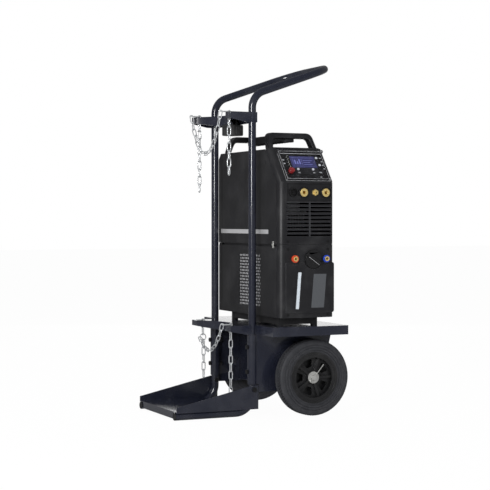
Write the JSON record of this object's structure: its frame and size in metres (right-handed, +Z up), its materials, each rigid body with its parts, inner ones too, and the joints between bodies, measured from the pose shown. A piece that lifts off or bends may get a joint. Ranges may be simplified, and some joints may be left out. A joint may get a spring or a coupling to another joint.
{
  "type": "welding set trolley",
  "caption": "Two-wheeled tube trolley with toe plate, cradles and chains for a gas cylinder, carrying a water-cooled TIG welding set on its tray.",
  "frame": {"origin": "centre of the bounding box on the floor", "axes": "+X along the axle towards the welding set's front, -Y towards the gas cylinder side, +Y towards the push handle's overhang, +Z up"},
  "size_m": [0.678, 0.707, 1.3981],
  "materials": {
    "frame_paint": "gloss powder coat, near black blue",
    "end_cap": "matt black",
    "bolt_black": "black fasteners",
    "axle_steel": "plain steel",
    "tyre": "dark grey rubber",
    "rim": "black plastic",
    "holder_plastic": "black plastic",
    "chain": "bright zinc",
    "case_paint": "charcoal, lightly textured",
    "case_plastic": "charcoal plastic",
    "clear": "clear plastic",
    "milky_plastic": "milky plastic",
    "black_gloss": "black gloss plastic",
    "brass": "turned brass",
    "red_collar": "red",
    "blue_collar": "blue",
    "pump_metal": "grey casting",
    "fin_metal": "bare",
    "fan_plastic": "black",
    "display": "blue violet display window",
    "button_plastic": "pale grey"
  },
  "bodies": {
    "frame": {"left_upright": "frame_paint", "right_upright": "frame_paint", "handle_bow": "frame_paint", "upper_cradle": "frame_paint", "tray": "frame_paint", "toe_plate": "frame_paint", "left_side_panel": "frame_paint", "right_side_panel": "frame_paint", "cross_panel": "frame_paint", "tube_end_caps": "end_cap", "frame_bolts": "bolt_black", "bezel_screws": "bolt_black", "axle": "axle_steel", "axle_washers": "axle_steel", "split_pins": "axle_steel", "torch_holder": "holder_plastic", "chain_anchors": "chain", "cooler_case": "case_paint", "welder_case": "case_paint", "cooler_chassis": "case_paint", "welder_chassis": "case_paint", "cooler_front": "case_plastic", "welder_front": "case_plastic", "fascia": "case_plastic", "rear_cover": "case_plastic", "front_handle": "case_plastic", "rear_handle": "case_plastic", "centre_grip": "case_plastic", "level_window": "milky_plastic", "coolant_tank": "milky_plastic", "control_socket": "black_gloss", "hose_couplings": "brass", "weld_sockets": "brass", "gas_outlet": "brass", "coolant_pump": "pump_metal", "radiator": "fin_metal", "power_module": "fin_metal", "display": "display"},
    "left_wheel": {"left_tyre": "tyre", "left_rim": "rim"},
    "right_wheel": {"right_tyre": "tyre", "right_rim": "rim"},
    "upper_chain_swag": {"upper_chain_swag": "chain"},
    "upper_chain_left_tail": {"upper_chain_left_tail": "chain"},
    "upper_chain_right_tail": {"upper_chain_right_tail": "chain"},
    "lower_chain_swag": {"lower_chain_swag": "chain"},
    "lower_chain_left_tail": {"lower_chain_left_tail": "chain"},
    "lower_chain_right_tail": {"lower_chain_right_tail": "chain"},
    "filler_cap": {"filler_cap": "black_gloss"},
    "red_collar": {"red_collar": "red_collar"},
    "blue_collar": {"blue_collar": "blue_collar"},
    "cooler_fan": {"cooler_fan": "fan_plastic"},
    "encoder_knob": {"encoder_knob": "red_collar"},
    "menu_button": {"menu_button": "button_plastic"},
    "mode_button": {"mode_button": "button_plastic"},
    "store_button": {"store_button": "button_plastic"},
    "test_button": {"test_button": "button_plastic"},
    "clear_cover": {"clear_cover": "clear"},
    "welder_fan": {"welder_fan": "fan_plastic"},
    "mains_switch": {"mains_switch": "black_gloss"}
  },
  "joints": [
    {"name": "left_wheel_spin", "type": "hinge", "parent": "frame", "child": "left_wheel", "pos_m": [0.262, 0.1985, 0.15], "axis": [1, 0, 0], "continuous": true},
    {"name": "right_wheel_spin", "type": "hinge", "parent": "frame", "child": "right_wheel", "pos_m": [-0.262, 0.1985, 0.15], "axis": [1, 0, 0], "continuous": true},
    {"name": "cooler_fan_spin", "type": "hinge", "parent": "frame", "child": "cooler_fan", "pos_m": [0.048, 0.0815, 0.527], "axis": [0, 1, 0], "continuous": true},
    {"name": "welder_fan_spin", "type": "hinge", "parent": "frame", "child": "welder_fan", "pos_m": [-0.219, 0.1465, 0.785], "axis": [1, 0, 0], "continuous": true},
    {"name": "encoder_turn", "type": "hinge", "parent": "frame", "child": "encoder_knob", "pos_m": [0.29631, 0.0935, 0.96084], "axis": [0.788, 0, 0.6157], "continuous": true},
    {"name": "menu_press", "type": "slide", "parent": "frame", "child": "menu_button", "axis": [-0.788, 0, -0.6157], "range_m": [0, 0.0012], "stiffness_N_per_m": 800},
    {"name": "mode_press", "type": "slide", "parent": "frame", "child": "mode_button", "axis": [-0.788, 0, -0.6157], "range_m": [0, 0.0012], "stiffness_N_per_m": 800},
    {"name": "store_press", "type": "slide", "parent": "frame", "child": "store_button", "axis": [-0.788, 0, -0.6157], "range_m": [0, 0.0012], "stiffness_N_per_m": 800},
    {"name": "test_press", "type": "slide", "parent": "frame", "child": "test_button", "axis": [-0.788, 0, -0.6157], "range_m": [0, 0.0012], "stiffness_N_per_m": 800},
    {"name": "cover_swing", "type": "hinge", "parent": "frame", "child": "clear_cover", "pos_m": [0.24216, 0.1565, 1.03909], "axis": [0, -1, 0], "range_deg": [0, 100]},
    {"name": "cap_turn", "type": "hinge", "parent": "frame", "child": "filler_cap", "pos_m": [0.331, 0.1715, 0.617], "axis": [1, 0, 0], "range_deg": [0, 90]},
    {"name": "red_collar_slide", "type": "slide", "parent": "frame", "child": "red_collar", "axis": [1, 0, 0], "range_m": [0, 0.003], "stiffness_N_per_m": 1500},
    {"name": "blue_collar_slide", "type": "slide", "parent": "frame", "child": "blue_collar", "axis": [1, 0, 0], "range_m": [0, 0.003], "stiffness_N_per_m": 1500},
    {"name": "switch_turn", "type": "hinge", "parent": "frame", "child": "mains_switch", "pos_m": [-0.26, 0.0865, 0.96], "axis": [1, 0, 0], "range_deg": [0, 90]},
    {"name": "upper_chain_left_tail_swing", "type": "hinge", "parent": "frame", "child": "upper_chain_left_tail", "pos_m": [0.151, -0.1075, 1.1627], "axis": [1, 0, 0], "range_deg": [-12, 12]},
    {"name": "upper_chain_right_tail_swing", "type": "hinge", "parent": "frame", "child": "upper_chain_right_tail", "pos_m": [-0.151, -0.1075, 1.1627], "axis": [1, 0, 0], "range_deg": [-12, 12]},
    {"name": "lower_chain_left_tail_swing", "type": "hinge", "parent": "frame", "child": "lower_chain_left_tail", "pos_m": [0.142, -0.0965, 0.3287], "axis": [1, 0, 0], "range_deg": [-12, 12]},
    {"name": "lower_chain_right_tail_swing", "type": "hinge", "parent": "frame", "child": "lower_chain_right_tail", "pos_m": [-0.142, -0.0935, 0.2765], "axis": [1, 0, 0], "range_deg": [-6, 12]},
    {"name": "upper_chain_swag_swing", "type": "hinge", "parent": "frame", "child": "upper_chain_swag", "pos_m": [0, -0.1431, 1.1943], "axis": [1, 0, 0], "range_deg": [-16, 5]},
    {"name": "lower_chain_swag_swing", "type": "hinge", "parent": "frame", "child": "lower_chain_swag", "pos_m": [-0.00215, -0.1204, 0.32565], "axis": [0.9662, -0.0784, 0.2457], "range_deg": [-7, 0]}
  ]
}
